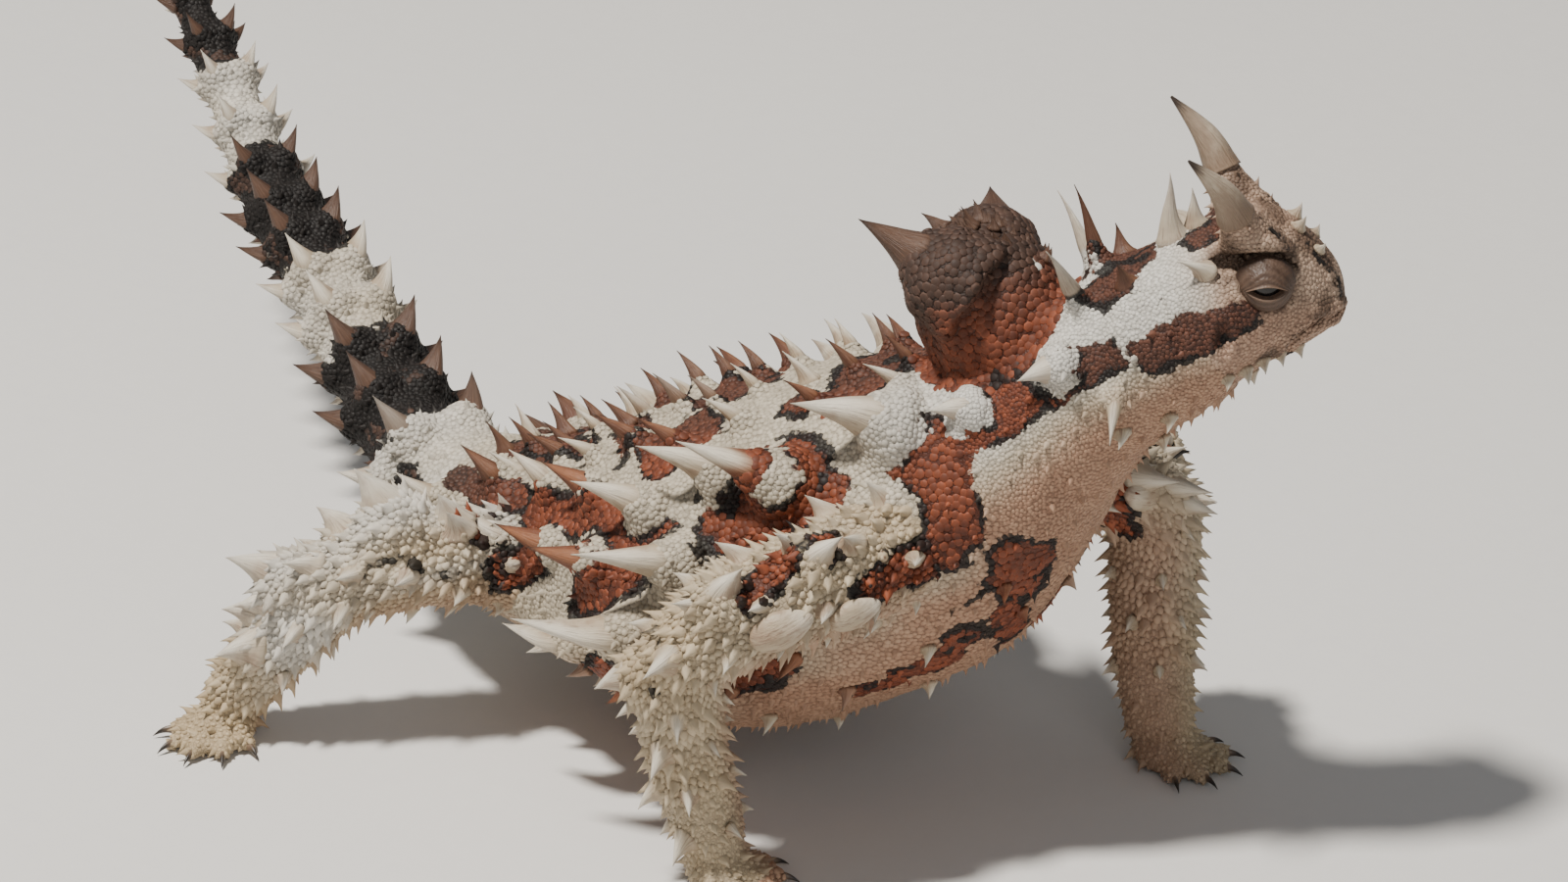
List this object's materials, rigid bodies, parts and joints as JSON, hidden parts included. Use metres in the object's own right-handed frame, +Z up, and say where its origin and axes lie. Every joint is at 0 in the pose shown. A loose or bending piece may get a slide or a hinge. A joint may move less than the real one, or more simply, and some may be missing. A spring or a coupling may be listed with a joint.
{
  "type": "thorny devil lizard model",
  "caption": "Life-size still model of a thorny devil, a small spiny desert lizard, standing with chest raised, head turned and tail lifted.",
  "frame": {"origin": "middle of the model's bounding box at ground level, where the soles of the feet stand", "axes": "+X ahead along the trunk, towards the chest and head; +Y the animal's left; +Z up"},
  "size_m": [0.1586, 0.0762, 0.0707],
  "materials": {
    "skin": "dry granular scales, cream and grey-white with black-edged rufous patches",
    "rufous_skin": "dry granular red-brown scales with black edges",
    "horn": "smooth satin horn, pale with dark tips",
    "claw": "dark polished claw",
    "eye": "wet dark eye"
  },
  "bodies": {
    "root": {"head": "skin", "neck": "skin", "torso": "skin", "tail_base": "skin", "tail_middle": "skin", "tail_tip": "skin", "upper_arm_right": "skin", "forearm_right": "skin", "hand_right": "skin", "thigh_right": "skin", "shin_right": "skin", "foot_right": "skin", "upper_arm_left": "skin", "forearm_left": "skin", "hand_left": "skin", "thigh_left": "skin", "shin_left": "skin", "foot_left": "skin", "nape_knob": "rufous_skin", "horn_right": "horn", "horn_left": "horn", "eye_right": "eye", "eye_left": "eye"}
  },
  "joints": []
}
